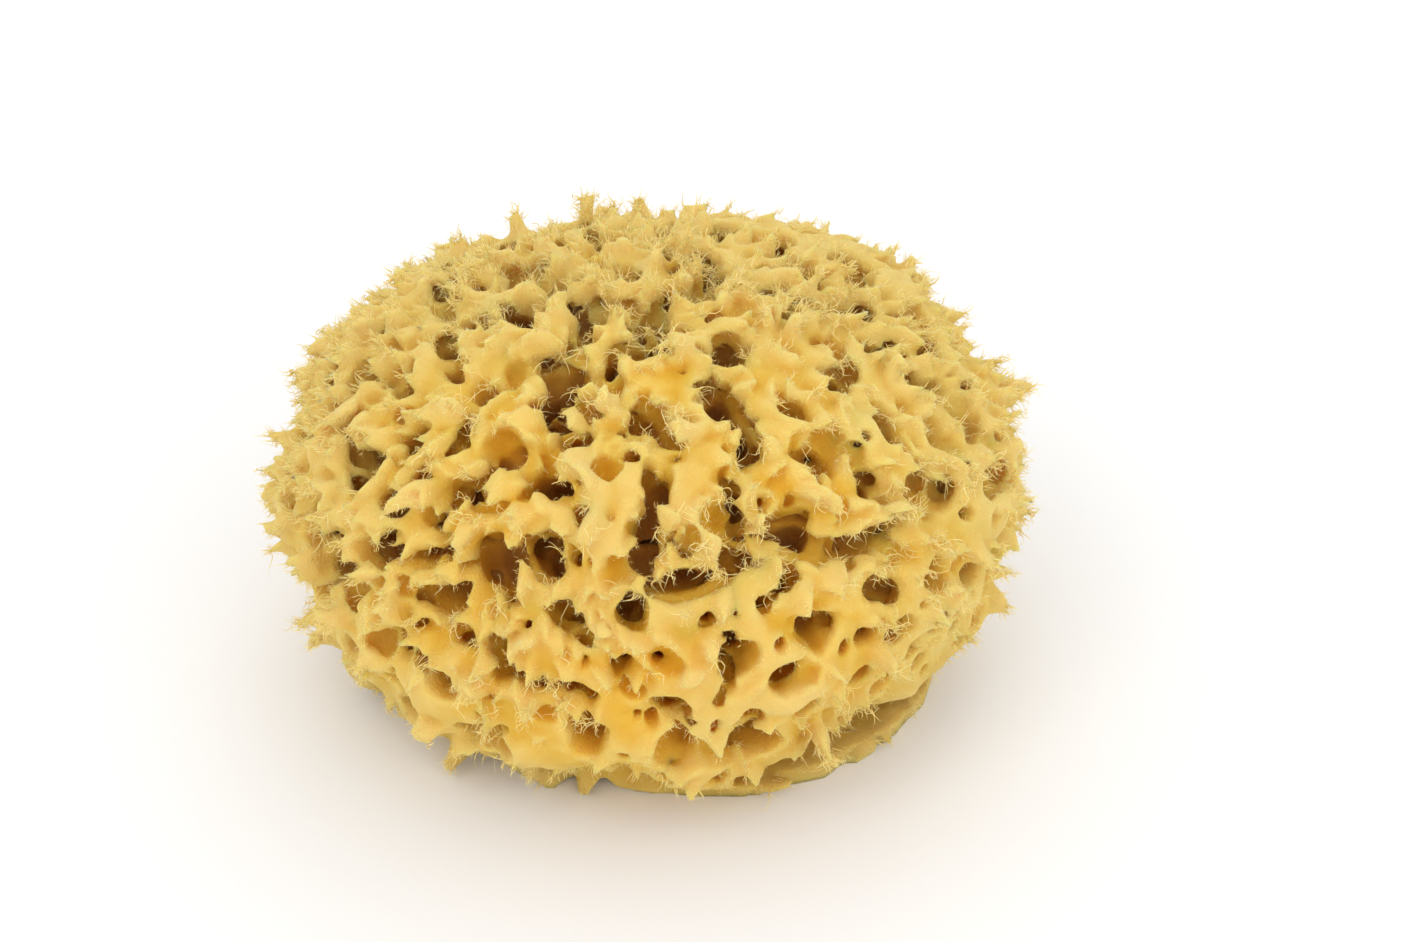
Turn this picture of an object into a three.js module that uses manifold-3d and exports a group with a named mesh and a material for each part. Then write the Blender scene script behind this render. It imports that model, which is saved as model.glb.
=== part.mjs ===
// A dried honeycomb sea sponge: one ovoid body, grown as a single piece, whose outside is all wide canals
// with ragged wall ends standing between them. It was cut off flat where it had grown on the rock.
// Millimetres, +Z up. The flat cut lies on z = 0, and the origin is under the middle of the sponge.
// Azimuth 0 is the front (-Y) and +90 the right (+X). Elevation is above the horizontal. Both are seen from
// the body's centre.
import * as THREE from "three";
import { ConvexHull } from "three/addons/math/ConvexHull.js";
import { mergeVertices } from "three/addons/utils/BufferGeometryUtils.js";
import Module from "manifold-3d";

// Driving dimensions
const WIDTH = 150;
const DEPTH = 132;
const HEIGHT = 91;
const GIRTH_HEIGHT = 44; // height of the widest section above the cut
const FRINGE = 5; // how far the ragged wall ends stand out of the body
const UNDERSIDE = 70; // half height that the lower half would have if it weren't cut

const BODY = {
  halfWidth: WIDTH / 2 - FRINGE,
  halfDepth: DEPTH / 2 - FRINGE,
  halfHeight: HEIGHT - GIRTH_HEIGHT - FRINGE,
};
const LEAST_GAP = 0.5; // closest that two points of the skin may be
const MOST_TRIES = 20000; // random places tried before a kind of detail is as full as it gets

// Swellings and dips of the body: azimuth, elevation, spread in degrees, height in mm.
const SWELLINGS = [
  [0, 30, 24, 3], // brow over the valley
  [-40, 24, 16, 2],
  [45, 26, 18, 2.5],
  [-34, 9, 13, -4], // valley across the front
  [-10, 15, 10, -3],
  [40, 15, 12, -3],
  [10, -8, 26, 1.5], // belly under the valley
  [98, 14, 24, 5], // right shoulder
  [134, 26, 24, 6],
  [82, -14, 14, 3],
  [-25, -46, 18, -7], // the cut's rim set back at the front left
  [-60, -32, 18, -3],
  [180, 5, 30, 2],
  [180, 36, 24, 2],
  [-120, 18, 24, 3],
];

// The front's main canals: azimuth, elevation, width, height and depth of the mouth's oval, in mm.
const FRONT_CANALS = [
  // upper half
  [-84, 27, 6.5, 6.5, 9],
  [-74, 33, 5.5, 5, 10],
  [-82, 17, 4.5, 6.5, 9],
  [-84, 46, 5, 9, 12],
  [-80, 60, 9.5, 6.5, 9],
  [-72, 76, 5, 7, 16],
  [-110, 68, 8, 6.5, 9],
  [-52, 44, 5.5, 5, 10],
  [-42, 57, 6.5, 8, 18],
  [-30, 48, 7, 7, 18],
  [-14, 66, 5, 7, 14],
  [-57, 29, 6, 6, 16],
  [-45, 33, 4, 4.5, 14],
  [36, 82, 7, 7, 18],
  [8, 69, 6.5, 8, 18],
  [100, 61, 4.5, 10, 14],
  [90, 76, 5.5, 6.5, 10],
  [118, 36, 7, 9, 9],
  [97, 41, 6, 8, 12],
  [104, 28, 4.5, 8, 9],
  [49, 59, 6.5, 6.5, 10],
  [30, 51, 6.5, 8, 11],
  [31, 42, 4, 8, 15],
  [66, 40, 7, 6, 17],
  [45, 42, 4.5, 5, 15],
  [62, 29, 4.5, 8, 15],
  [87, 20, 5, 5.5, 8],
  // band of the brow and the valley
  [-53, 19, 6, 5, 13],
  [-34, 36, 5, 5.5, 9],
  [-20, 31, 9, 5, 17],
  [-28, 17, 9.5, 9.5, 14],
  [-16, 19, 7, 6.5, 17],
  [-42, 14, 5, 4.5, 10],
  [-38, 6, 11, 5.5, 12],
  [4, 33, 4.5, 9, 13],
  [1, 24, 5, 9, 15],
  [22, 31, 4, 6, 13],
  [32, 22, 10, 6.5, 14],
  [48, 14, 10, 5, 13],
  [51, 23, 4.5, 4, 9],
  [8, 17, 11, 4, 14],
  // lower half
  [-1, 12, 4.5, 4.5, 12],
  [-33, 1, 5, 4.5, 9],
  [-23, -2, 4, 7.5, 14],
  [-17, -4, 5.5, 4, 11],
  [-46, -5, 5, 6, 10],
  [-36, -10, 5, 5, 12],
  [18, 19, 4, 4, 12],
  [25, -3, 5, 4.5, 13],
  [45, 6, 5, 4.5, 9],
  [51, -5, 5, 6, 11],
  [17, 2, 4.5, 4, 11],
  [6, -5, 4, 5.5, 12],
  [19, -12, 4.5, 6, 12],
  [8, -17, 7, 9, 8],
  [22, -22, 10, 5, 12],
  [30, -13, 5, 7, 9],
  [-10, -5, 4.5, 4.5, 11],
  [-9, -14, 6, 10, 8],
  [-49, -24, 8, 6, 8],
  [-31, -21, 8, 6, 8],
];

// The front's main fingers: azimuth, elevation, length, thickness, and the way the tip leans, in degrees to
// the right and upwards from straight out.
const FRONT_FINGERS = [
  [-60, 62, 7, 6, 15, -35],
  [-40, 66, 7, 6, 10, -30],
  [28, 62, 9, 6, -45, 0],
  [-6, 50, 8, 9, -10, -20],
  [-33, 38, 7, 8, 10, -10],
  [14, 42, 9, 7, -30, -20],
  [8, 45, 7, 6, 10, -10],
  [-12, 36, 8, 8, 0, -30],
  [-8, 28, 8, 8, -15, -40],
  [-24, 25, 9, 6, -25, -45],
  [-32, 21, 9, 6, -30, -45],
  [-6, 19, 8, 7, 5, -45],
  [-46, 22, 8, 7, -20, -40],
  [-52, 36, 7, 6, -10, 10],
  [13, 24, 7, 7, 10, -30],
  [24, 26, 8, 6, 10, -40],
  [39, 27, 8, 8, 10, -40],
  [50, 18, 9, 6, 35, -30],
  [56, 36, 6, 6, 0, 20],
  [74, 32, 7, 6, 10, 20],
  [5, 10, 5, 6, 0, -30],
];

// A canal drops from a flared rim to a floor ring round its deepest point.
const CANAL = {
  rimPoints: 6,
  floorPoints: 5,
  flare: 1.4, // rim's size as a share of the canal's
  floorShare: 0.85, // floor ring's size as a share of the canal's
  floorDepth: 0.75, // floor ring's depth as a share of the canal's
  rimRise: [0, 4],
};
// A finger narrows from a foot ring to a neck ring under its tip.
const FINGER = {
  footPoints: 5,
  neckPoints: 4,
  neckShare: 0.55, // neck's width as a share of the foot's
  neckHeight: 0.72, // neck's height as a share of the finger's
  footRise: 1,
  tipShift: 1.2, // farthest that the tip is to one side
};
// A leaning finger: its radii are shares of the thickness, and its neck height a share of the length.
const LEANING_FINGER = { sides: 5, root: 0.5, rootDepth: 4, neck: 0.29, neckHeight: 0.8, flatness: 0.7 };
const SPREAD_CANALS = { count: 180, wall: 0.8, width: [4.5, 8], stretch: [0.8, 1.35], depth: [8, 15] };
const SPREAD_FINGERS = { count: 110, wall: -0.6, length: [4, 7], thickness: [4, 6] };
const WALL_POINTS = { tries: 6000, gap: 4.3, rise: [0, 2.6] };
const BASE_CANALS = { count: 12, wall: 9, width: [4.5, 8], depth: [8, 14], clearMiddle: 14, reach: 0.85 };
const BASE_FLAP = {
  // a thin sheet left along the rock at the front right
  outline: [
    [12, -22],
    [27, -39],
    [36, -36],
    [43.5, -30],
    [51, -24],
    [56.5, -14],
    [59, -5],
    [30, 0],
  ],
  thickness: 3.5,
};
const MOUTH = 0.9; // share of a rim's reach that no other detail's points may enter
const SEED = 20;

const RIGHT = new THREE.Vector3(1, 0, 0);
const UP = new THREE.Vector3(0, 0, 1);
const DOWN = new THREE.Vector3(0, 0, -1);
const CENTRE = new THREE.Vector3(0, 0, GIRTH_HEIGHT);

const wasm = await Module();
wasm.setup();

// A repeatable stream of numbers from 0 to 1 (the mulberry32 generator).
function numberStream(seed) {
  let state = seed;
  return () => {
    state = (state + 0x6d2b79f5) | 0;
    let mixed = Math.imul(state ^ (state >>> 15), 1 | state);
    mixed = (mixed + Math.imul(mixed ^ (mixed >>> 7), 61 | mixed)) ^ mixed;
    return ((mixed ^ (mixed >>> 14)) >>> 0) / 4294967296;
  };
}

const random = numberStream(SEED);
const between = ([low, high]) => low + (high - low) * random();

function direction(azimuth, elevation) {
  const [turn, rise] = [azimuth, elevation].map(THREE.MathUtils.degToRad);
  const level = Math.cos(rise);
  return new THREE.Vector3(Math.sin(turn) * level, -Math.cos(turn) * level, Math.sin(rise));
}

function randomDirection() {
  const rise = between([-1, 1]);
  return direction(between([-180, 180]), THREE.MathUtils.radToDeg(Math.asin(rise)));
}

const swellings = SWELLINGS.map(([azimuth, elevation, spread, height]) => ({
  middle: direction(azimuth, elevation),
  spread: THREE.MathUtils.degToRad(spread),
  height,
}));

const halfHeightOf = (way) => (way.z > 0 ? BODY.halfHeight : UNDERSIDE);

// The place in a direction on the body's surface, without its canals and fingers, or some way out from there.
function surfacePoint(way, rise = 0) {
  const { halfWidth, halfDepth } = BODY;
  const scaled = new THREE.Vector3(way.x / halfWidth, way.y / halfDepth, way.z / halfHeightOf(way));
  const swelling = swellings.reduce(
    (sum, { middle, spread, height }) => sum + height * Math.exp(-((way.angleTo(middle) / spread) ** 2)),
    0,
  );
  return way.clone().multiplyScalar(1 / scaled.length() + swelling + rise).add(CENTRE);
}

// A spot on the surface: its place, and the outward, rightward and upward unit vectors there.
function spotAt(way) {
  const outward = new THREE.Vector3(
    way.x / BODY.halfWidth ** 2,
    way.y / BODY.halfDepth ** 2,
    way.z / halfHeightOf(way) ** 2,
  ).normalize();
  const rightward = new THREE.Vector3().crossVectors(UP, outward);
  if (rightward.lengthSq() < 1e-6) rightward.copy(RIGHT);
  rightward.normalize();
  const upward = new THREE.Vector3().crossVectors(outward, rightward);
  return { place: surfacePoint(way), outward, rightward, upward };
}

// The direction from the body's centre to a place beside a spot.
function beside({ place, rightward, upward }, right, up) {
  return place.clone().addScaledVector(rightward, right).addScaledVector(upward, up).sub(CENTRE).normalize();
}

// Directions to the points of an oval ring round a spot.
function ring(spot, halfWidth, halfHeight, count) {
  const start = between([0, 2 * Math.PI]);
  return Array.from({ length: count }, (_, i) => {
    const turn = start + (2 * Math.PI * i) / count;
    return beside(spot, Math.cos(turn) * halfWidth, Math.sin(turn) * halfHeight);
  });
}

function frontCanals() {
  return FRONT_CANALS.map(([azimuth, elevation, width, height, depth]) => ({
    ...spotAt(direction(azimuth, elevation)),
    width,
    height,
    depth,
  }));
}

const reachOf = ({ width, height }) => (CANAL.flare * (width + height)) / 4;
const gapBetween = (one, other) => one.place.distanceTo(other.place);

// Random canals all over the sponge, each kept if it leaves a wall to those before it.
function spreadCanals(placed) {
  const { count, wall, width, stretch, depth } = SPREAD_CANALS;
  const canals = [...placed];
  for (let tries = 0; canals.length < placed.length + count && tries < MOST_TRIES; tries++) {
    const across = between(width);
    const canal = {
      ...spotAt(randomDirection()),
      width: across,
      height: across * between(stretch),
      depth: between(depth),
    };
    const isFree = canals.every((other) => gapBetween(canal, other) > reachOf(canal) + reachOf(other) + wall);
    if (isFree && canal.place.z > 0) canals.push(canal);
  }
  return canals;
}

// Random fingers on the walls that the canals leave.
function spreadFingers(canals, placed) {
  const { count, wall, length, thickness } = SPREAD_FINGERS;
  const fingers = [];
  for (let tries = 0; fingers.length < count && tries < MOST_TRIES; tries++) {
    const finger = { ...spotAt(randomDirection()), length: between(length), thickness: between(thickness) };
    const half = finger.thickness / 2;
    const isFree =
      canals.every((canal) => gapBetween(finger, canal) > reachOf(canal) + half + wall) &&
      placed.every((other) => gapBetween(finger, other) > half + other.thickness) &&
      fingers.every((other) => gapBetween(finger, other) > half + other.thickness / 2 + wall);
    if (isFree && finger.place.z > 0) fingers.push(finger);
  }
  return fingers;
}

// Points of the skin round a canal: a direction from the centre and how far the skin stands out there.
function canalPoints({ width, height, depth, ...spot }) {
  const { rimPoints, floorPoints, floorShare, floorDepth, flare, rimRise } = CANAL;
  const floor = ring(spot, (width / 2) * floorShare, (height / 2) * floorShare, floorPoints);
  const rim = ring(spot, (width / 2) * flare, (height / 2) * flare, rimPoints);
  return [
    { way: beside(spot, 0, 0), rise: -depth },
    ...floor.map((way) => ({ way, rise: -depth * floorDepth })),
    ...rim.map((way) => ({ way, rise: between(rimRise) })),
  ];
}

function fingerPoints({ length, thickness, ...spot }) {
  const { footPoints, neckPoints, neckShare, neckHeight, footRise, tipShift } = FINGER;
  const half = thickness / 2;
  const shift = [-tipShift, tipShift];
  const foot = ring(spot, half, half, footPoints);
  const neck = ring(spot, half * neckShare, half * neckShare, neckPoints);
  return [
    { way: beside(spot, between(shift) * neckShare, between(shift) * neckShare), rise: length },
    ...neck.map((way) => ({ way, rise: length * neckHeight })),
    ...foot.map((way) => ({ way, rise: footRise })),
  ];
}

function wallPoints() {
  const { tries, rise } = WALL_POINTS;
  return Array.from({ length: tries }, () => ({ way: randomDirection(), rise: between(rise) }));
}

// The points, without those too close to one before them on the smooth surface.
function thinned(points, gap, kept = []) {
  for (const point of points) {
    const place = surfacePoint(point.way);
    const isFree = kept.every((other) => place.distanceToSquared(other.place) > gap ** 2);
    if (isFree) kept.push({ ...point, place });
  }
  return kept;
}

// A closed geometry as a solid that can be joined and cut.
function solidOf(geometry) {
  const { position } = (geometry.index ? geometry.toNonIndexed() : geometry).attributes;
  const merged = mergeVertices(new THREE.BufferGeometry().setAttribute("position", position), 1e-4);
  const corners = merged.index.array;
  const triVerts = [];
  for (let i = 0; i < corners.length; i += 3) {
    const [a, b, c] = corners.slice(i, i + 3);
    if (a !== b && b !== c && c !== a) triVerts.push(a, b, c);
  }
  const mesh = new wasm.Mesh({
    numProp: 3,
    vertProperties: merged.attributes.position.array,
    triVerts: new Uint32Array(triVerts),
  });
  return new wasm.Manifold(mesh);
}

function geometryOf(solid) {
  const { vertProperties, triVerts } = solid.getMesh();
  const geometry = new THREE.BufferGeometry();
  geometry.setAttribute("position", new THREE.BufferAttribute(vertProperties, 3));
  geometry.setIndex(new THREE.BufferAttribute(triVerts, 1));
  return geometry;
}

// The skin: its points joined into triangles as their directions lie round the sphere.
function bodySolid(canals, fingers) {
  const isClear = ({ way }, owner) => {
    const place = surfacePoint(way);
    return canals.every((canal) => canal === owner || place.distanceTo(canal.place) > MOUTH * reachOf(canal));
  };
  const canalSkin = canals.flatMap((canal) => canalPoints(canal).filter((point) => isClear(point, canal)));
  const features = thinned([...canalSkin, ...fingers.flatMap(fingerPoints)], LEAST_GAP);
  const walls = wallPoints().filter((point) => isClear(point));
  const points = thinned(walls, WALL_POINTS.gap, features);
  const places = new Map(points.map(({ way, rise }) => [way, surfacePoint(way, rise)]));
  const hull = new ConvexHull().setFromPoints([...places.keys()]);
  const corners = hull.faces.flatMap(({ edge }) => [edge.prev, edge, edge.next]);
  const skin = new THREE.BufferGeometry();
  skin.setFromPoints(corners.map((corner) => places.get(corner.head().point)));
  return solidOf(skin);
}

// A geometry whose own axis is Y, moved to a place with that axis along a new one and its X as near to
// sideways as it gets.
function stoodUp(geometry, place, axis, sideways) {
  const across = sideways.clone().addScaledVector(axis, -sideways.dot(axis)).normalize();
  const third = new THREE.Vector3().crossVectors(across, axis);
  return geometry.applyMatrix4(new THREE.Matrix4().makeBasis(across, axis, third).setPosition(place));
}

// A closed solid of revolution about Y from pairs of radius and height, the lowest first.
function turned(profile, sides) {
  return new THREE.LatheGeometry(
    profile.map(([radius, y]) => new THREE.Vector2(radius, y)),
    sides,
  );
}

// A tapering wall end that leans, flatter than wide, rooted under the surface.
function leaningFingerSolid([azimuth, elevation, length, thickness, toRight, upwards]) {
  const { place, outward, rightward, upward } = spotAt(direction(azimuth, elevation));
  const [right, up] = [toRight, upwards].map((angle) => Math.tan(THREE.MathUtils.degToRad(angle)));
  const axis = outward.clone().addScaledVector(rightward, right).addScaledVector(upward, up).normalize();
  const { sides, root, rootDepth, neck, neckHeight, flatness } = LEANING_FINGER;
  const profile = [
    [0, -rootDepth],
    [root, -rootDepth],
    [neck, length * neckHeight],
    [0, length],
  ];
  const geometry = turned(profile, sides).scale(thickness, 1, thickness * flatness);
  return solidOf(stoodUp(geometry, place, axis, rightward));
}

// A canal up into the sponge from the cut.
function baseCanalSolid({ place, width, depth }) {
  const { floorShare, floorDepth } = CANAL;
  const profile = [
    [0, -depth],
    [floorShare / 2, -depth * floorDepth],
    [1 / 2, 1],
    [0, 1],
  ];
  const geometry = turned(profile, CANAL.rimPoints).scale(width, 1, width);
  return solidOf(stoodUp(geometry, place, DOWN, RIGHT));
}

function baseFlapSolid() {
  const outline = new THREE.Shape(BASE_FLAP.outline.map(([x, y]) => new THREE.Vector2(x, y)));
  const settings = { depth: BASE_FLAP.thickness, bevelEnabled: false };
  return solidOf(new THREE.ExtrudeGeometry(outline, settings));
}

function baseCanals() {
  const { count, wall, width, depth, clearMiddle, reach } = BASE_CANALS;
  const rim = reach * Math.sqrt(1 - (GIRTH_HEIGHT / UNDERSIDE) ** 2);
  const found = [];
  for (let tries = 0; found.length < count && tries < MOST_TRIES; tries++) {
    const turn = between([0, 2 * Math.PI]);
    const share = rim * Math.sqrt(between([0, 1]));
    const [x, y] = [Math.cos(turn) * share * BODY.halfWidth, Math.sin(turn) * share * BODY.halfDepth];
    const canal = { place: new THREE.Vector3(x, y, 0), width: between(width), depth: between(depth) };
    const isFree = found.every((other) => gapBetween(canal, other) > canal.width + wall);
    if (isFree && Math.hypot(x, y) > clearMiddle) found.push(canal);
  }
  return found;
}

function aboveTheCut() {
  const room = 2 * WIDTH;
  return solidOf(new THREE.BoxGeometry(room, room, room).translate(0, 0, room / 2));
}

function spongeGeometry() {
  const canals = spreadCanals(frontCanals());
  const leaning = FRONT_FINGERS.map(([azimuth, elevation, , thickness]) => ({
    ...spotAt(direction(azimuth, elevation)),
    thickness,
  }));
  const body = bodySolid(canals, spreadFingers(canals, leaning));
  const grown = wasm.Manifold.union([body, baseFlapSolid(), ...FRONT_FINGERS.map(leaningFingerSolid)]);
  const cut = grown.intersect(aboveTheCut());
  const finished = cut.subtract(wasm.Manifold.union(baseCanals().map(baseCanalSolid)));
  const largest = finished.decompose().sort((one, other) => other.volume() - one.volume())[0];
  const geometry = geometryOf(largest);
  geometry.computeBoundingBox();
  const middle = geometry.boundingBox.getCenter(new THREE.Vector3());
  const size = geometry.boundingBox.getSize(new THREE.Vector3());
  return geometry.translate(-middle.x, -middle.y, 0).scale(WIDTH / size.x, DEPTH / size.y, HEIGHT / size.z);
}

const material = new THREE.MeshStandardMaterial({ color: 0xe2bd68, roughness: 0.95, metalness: 0 });
const sponge = new THREE.Mesh(spongeGeometry(), material);
sponge.name = "sponge";

const part = new THREE.Group();
part.add(sponge);

export default part;
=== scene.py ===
"""A dried honeycomb sea sponge: a body grown as a field of canals and wall ends, and its tufts of fibre."""

import math
from collections import namedtuple

import bpy
import numpy as np
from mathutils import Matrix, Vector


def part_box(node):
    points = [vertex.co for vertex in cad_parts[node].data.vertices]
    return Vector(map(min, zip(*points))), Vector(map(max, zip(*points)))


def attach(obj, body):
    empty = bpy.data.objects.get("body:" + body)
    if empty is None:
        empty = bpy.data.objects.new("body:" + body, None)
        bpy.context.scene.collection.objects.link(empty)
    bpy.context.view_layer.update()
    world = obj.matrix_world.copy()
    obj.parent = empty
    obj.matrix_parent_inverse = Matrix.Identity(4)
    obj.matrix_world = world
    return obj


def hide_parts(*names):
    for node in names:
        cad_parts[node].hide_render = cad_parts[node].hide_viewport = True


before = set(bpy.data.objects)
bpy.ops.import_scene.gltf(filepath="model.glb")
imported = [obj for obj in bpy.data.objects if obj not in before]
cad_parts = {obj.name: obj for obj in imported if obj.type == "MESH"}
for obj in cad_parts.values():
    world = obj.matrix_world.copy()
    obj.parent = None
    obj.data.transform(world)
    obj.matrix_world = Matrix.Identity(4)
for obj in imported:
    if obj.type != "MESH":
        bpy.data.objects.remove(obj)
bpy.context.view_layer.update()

import openvdb
from mathutils import Vector

MM = 0.001  # the shapes below are worked out in millimetres and made in metres

# The body, as in the CAD source: an ovoid on its flat cut, with swellings and dips.
LOW, HIGH = (np.array(corner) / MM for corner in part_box("sponge"))
WIDTH, DEPTH, HEIGHT = HIGH - LOW
GIRTH_HEIGHT = 44.0  # where the ovoid is widest
FRINGE = 5.0  # how far the wall ends reach out of the ovoid
UNDERSIDE = 70.0  # the ovoid's half height below its girth; the flat cut takes most of it away
HALF_WIDTH = WIDTH / 2 - FRINGE
HALF_DEPTH = DEPTH / 2 - FRINGE
HALF_HEIGHT = HEIGHT - GIRTH_HEIGHT - FRINGE
CENTRE = np.array([0.0, 0.0, GIRTH_HEIGHT])
GROWN_MIDDLE = np.array([0.976, -0.150, 0.0])  # the middle of the grown body, which the CAD moves to 0
GROWN_SCALE = np.array([0.9717, 0.9713, 1.0103])  # and how it is then scaled to its size

# azimuth, elevation, spread in degrees, height
SWELLINGS = [
    (0, 30, 24, 3),
    (-40, 24, 16, 2),
    (45, 26, 18, 2.5),
    (-34, 9, 13, -4),
    (-10, 15, 10, -3),
    (40, 15, 12, -3),
    (10, -8, 26, 1.5),
    (98, 14, 24, 5),
    (134, 26, 24, 6),
    (82, -14, 14, 3),
    (-25, -46, 18, -7),
    (-60, -32, 18, -3),
    (180, 5, 30, 2),
    (180, 36, 24, 2),
    (-120, 18, 24, 3),
]

# azimuth, elevation, width, height, depth
FRONT_CANALS = [
    (-84, 27, 6.5, 6.5, 9), (-74, 33, 5.5, 5, 10), (-82, 17, 4.5, 6.5, 9), (-84, 46, 5, 9, 12),
    (-80, 60, 9.5, 6.5, 9), (-72, 76, 5, 7, 16), (-110, 68, 8, 6.5, 9), (-52, 44, 5.5, 5, 10),
    (-42, 57, 6.5, 8, 18), (-30, 48, 7, 7, 18), (-14, 66, 5, 7, 14), (-57, 29, 6, 6, 16),
    (-45, 33, 4, 4.5, 14), (36, 82, 7, 7, 18), (8, 69, 6.5, 8, 18), (100, 61, 4.5, 10, 14),
    (90, 76, 5.5, 6.5, 10), (118, 36, 7, 9, 9), (97, 41, 6, 8, 12), (104, 28, 4.5, 8, 9),
    (49, 59, 6.5, 6.5, 10), (30, 51, 6.5, 8, 11), (31, 42, 4, 8, 15), (66, 40, 7, 6, 17),
    (45, 42, 4.5, 5, 15), (62, 29, 4.5, 8, 15), (87, 20, 5, 5.5, 8), (-53, 19, 6, 5, 13),
    (-34, 36, 5, 5.5, 9), (-20, 31, 9, 5, 17), (-28, 17, 9.5, 9.5, 14), (-16, 19, 7, 6.5, 17),
    (-42, 14, 5, 4.5, 10), (-38, 6, 11, 5.5, 12), (4, 33, 4.5, 9, 13), (1, 24, 5, 9, 15),
    (22, 31, 4, 6, 13), (32, 22, 10, 6.5, 14), (48, 14, 10, 5, 13), (51, 23, 4.5, 4, 9),
    (8, 17, 11, 4, 14), (-1, 12, 4.5, 4.5, 12), (-33, 1, 5, 4.5, 9), (-23, -2, 4, 7.5, 14),
    (-17, -4, 5.5, 4, 11), (-46, -5, 5, 6, 10), (-36, -10, 5, 5, 12), (18, 19, 4, 4, 12),
    (25, -3, 5, 4.5, 13), (45, 6, 5, 4.5, 9), (51, -5, 5, 6, 11), (17, 2, 4.5, 4, 11),
    (6, -5, 4, 5.5, 12), (19, -12, 4.5, 6, 12), (8, -17, 7, 9, 8), (22, -22, 10, 5, 12),
    (30, -13, 5, 7, 9), (-10, -5, 4.5, 4.5, 11), (-9, -14, 6, 10, 8), (-49, -24, 8, 6, 8),
    (-31, -21, 8, 6, 8),
]

# azimuth, elevation, length, thickness, lean to the right and upwards in degrees
FRONT_FINGERS = [
    (-60, 62, 7, 6, 15, -35), (-40, 66, 7, 6, 10, -30), (28, 62, 9, 6, -45, 0), (-6, 50, 8, 9, -10, -20),
    (-33, 38, 7, 8, 10, -10), (14, 42, 9, 7, -30, -20), (8, 45, 7, 6, 10, -10), (-12, 36, 8, 8, 0, -30),
    (-8, 28, 8, 8, -15, -40), (-24, 25, 9, 6, -25, -45), (-32, 21, 9, 6, -30, -45), (-6, 19, 8, 7, 5, -45),
    (-46, 22, 8, 7, -20, -40), (-52, 36, 7, 6, -10, 10), (13, 24, 7, 7, 10, -30), (24, 26, 8, 6, 10, -40),
    (39, 27, 8, 8, 10, -40), (50, 18, 9, 6, 35, -30), (56, 36, 6, 6, 0, 20), (74, 32, 7, 6, 10, 20),
    (5, 10, 5, 6, 0, -30),
]

VOXEL = 0.5


# ---- places on the body


def way_to(azimuth, elevation):
    """Unit vector from the body's centre: azimuth 0 is the front, elevation is above the horizontal."""
    turn, rise = math.radians(azimuth), math.radians(elevation)
    level = math.cos(rise)
    return np.array([math.sin(turn) * level, -math.cos(turn) * level, math.sin(rise)])


def body_radius(x, y, z):
    """Distance from the centre to the smooth body's surface, in the directions of unit vectors (x, y, z)."""
    half_height = np.where(z > 0, HALF_HEIGHT, UNDERSIDE)
    radius = 1 / np.sqrt((x / HALF_WIDTH) ** 2 + (y / HALF_DEPTH) ** 2 + (z / half_height) ** 2)
    for azimuth, elevation, spread, height in SWELLINGS:
        middle = way_to(azimuth, elevation)
        apart = np.arccos(np.clip(x * middle[0] + y * middle[1] + z * middle[2], -1, 1))
        radius = radius + height * np.exp(-((apart / math.radians(spread)) ** 2))
    return radius


def spot_at(way):
    """The place on the body in a direction, with the outward, rightward and upward unit vectors there."""
    half_height = HALF_HEIGHT if way[2] > 0 else UNDERSIDE
    outward = way / np.array([HALF_WIDTH, HALF_DEPTH, half_height]) ** 2
    outward /= np.linalg.norm(outward)
    rightward = np.cross([0, 0, 1], outward)
    rightward /= np.linalg.norm(rightward)
    place = CENTRE + way * float(body_radius(*way))
    return place, np.array([rightward, np.cross(outward, rightward), outward])


def leant(axes, to_right, upwards):
    """The axes of a spot, tipped so that the outward one leans by degrees to the right and upwards."""
    rightward, upward, outward = axes
    aside, above = (math.tan(math.radians(lean)) for lean in (to_right, upwards))
    outward = outward + rightward * aside + upward * above
    outward = outward / np.linalg.norm(outward)
    rightward = rightward - outward * rightward.dot(outward)
    rightward /= np.linalg.norm(rightward)
    return np.array([rightward, np.cross(outward, rightward), outward])


# ---- the same random canals as in the CAD source


class NumberStream:
    """The mulberry32 generator, so that the canals fall where the CAD solid has them."""

    def __init__(self, seed):
        self.state = seed

    def between(self, low, high):
        mask = 0xFFFFFFFF
        self.state = (self.state + 0x6D2B79F5) & mask
        mixed = ((self.state ^ (self.state >> 15)) * (1 | self.state)) & mask
        mixed = ((mixed + (((mixed ^ (mixed >> 7)) * (61 | mixed)) & mask)) ^ mixed) & mask
        return low + (high - low) * ((mixed ^ (mixed >> 14)) & mask) / 4294967296

    def way(self):
        rise = self.between(-1, 1)
        return way_to(self.between(-180, 180), math.degrees(math.asin(rise)))


CAD_SEED = 20
FLARE = 1.4
MOST_TRIES = 20000
CANAL_COUNT, CANAL_WALL = 180, 0.8
CANAL_WIDTH, CANAL_STRETCH, CANAL_DEPTH = (4.5, 8), (0.8, 1.35), (8, 15)
FINGER_COUNT, FINGER_WALL = 110, -0.6
FINGER_LENGTH, FINGER_THICKNESS = (4, 7), (4, 6)


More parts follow.
